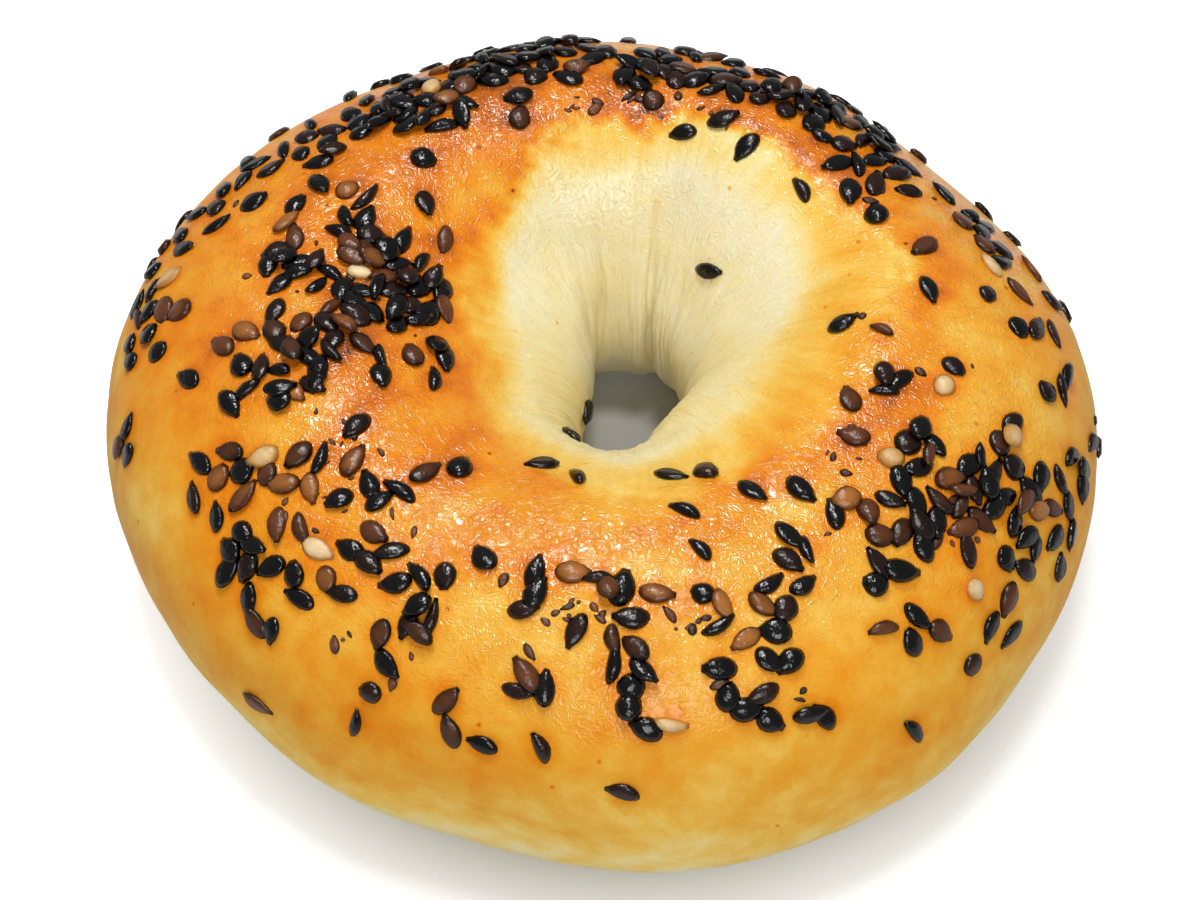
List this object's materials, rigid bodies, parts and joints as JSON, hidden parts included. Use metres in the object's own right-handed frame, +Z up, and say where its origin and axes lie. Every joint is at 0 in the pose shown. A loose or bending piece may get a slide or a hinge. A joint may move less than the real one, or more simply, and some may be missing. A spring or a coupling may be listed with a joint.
{
  "type": "bagel",
  "caption": "Round seeded bread ring with a browned top, a pale pinched hole off centre and a flat base; it lies on a plate or board.",
  "frame": {"origin": "middle of the flat base, under the middle of the ring's outline as seen from above", "axes": "+Z up from the base, +X to the right along the widest extent, +Y towards the back, where the folds run down the wall of the hole"},
  "size_m": [0.1, 0.0942, 0.0355],
  "materials": {
    "crust": "golden brown baked crust with an egg-wash gloss, pale cream round the hole and at the foot"
  },
  "bodies": {
    "root": {"bagel_dough": "crust"}
  },
  "joints": []
}
